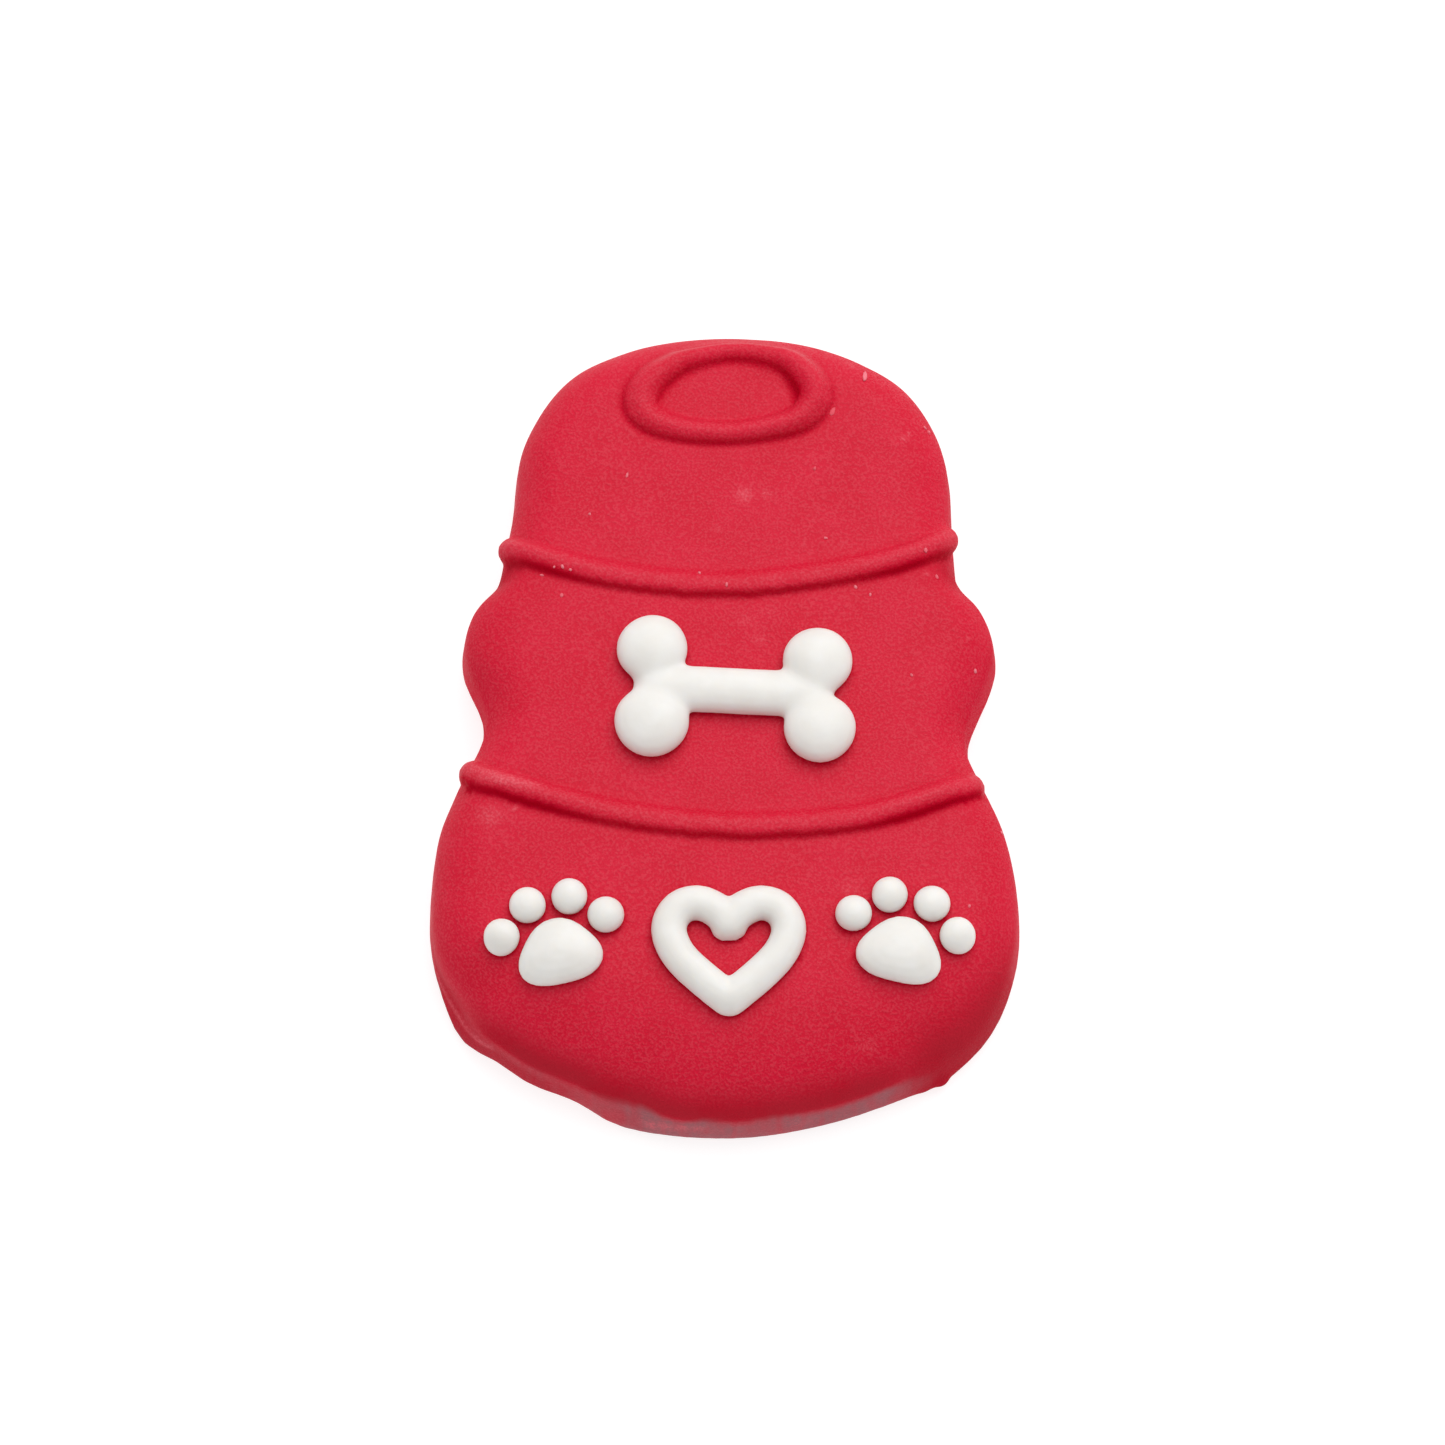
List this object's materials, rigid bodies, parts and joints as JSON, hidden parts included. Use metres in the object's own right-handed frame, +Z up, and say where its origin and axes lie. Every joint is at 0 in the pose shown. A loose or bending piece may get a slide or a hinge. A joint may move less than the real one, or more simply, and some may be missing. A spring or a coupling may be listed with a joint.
{
  "type": "dog biscuit",
  "caption": "Flat dog biscuit coated all over, with bulging sides, raised bands and ring, and piped icing motifs on top.",
  "frame": {"origin": "on the surface the biscuit lies on, under the middle of its box", "axes": "+Z up through the iced top; +Y along the biscuit towards the end with the raised ring; +X to the right seen from above"},
  "size_m": [0.0722, 0.1016, 0.0176],
  "materials": {
    "coating": "satin red confectionery coating with a fine grain",
    "icing": "smooth white piped icing with a soft sheen"
  },
  "bodies": {
    "root": {"coated_biscuit": "coating", "piped_bone": "icing", "piped_heart": "icing", "left_paw_pad": "icing", "left_paw_toe_1": "icing", "left_paw_toe_2": "icing", "left_paw_toe_3": "icing", "left_paw_toe_4": "icing", "right_paw_pad": "icing", "right_paw_toe_1": "icing", "right_paw_toe_2": "icing", "right_paw_toe_3": "icing", "right_paw_toe_4": "icing"}
  },
  "joints": []
}
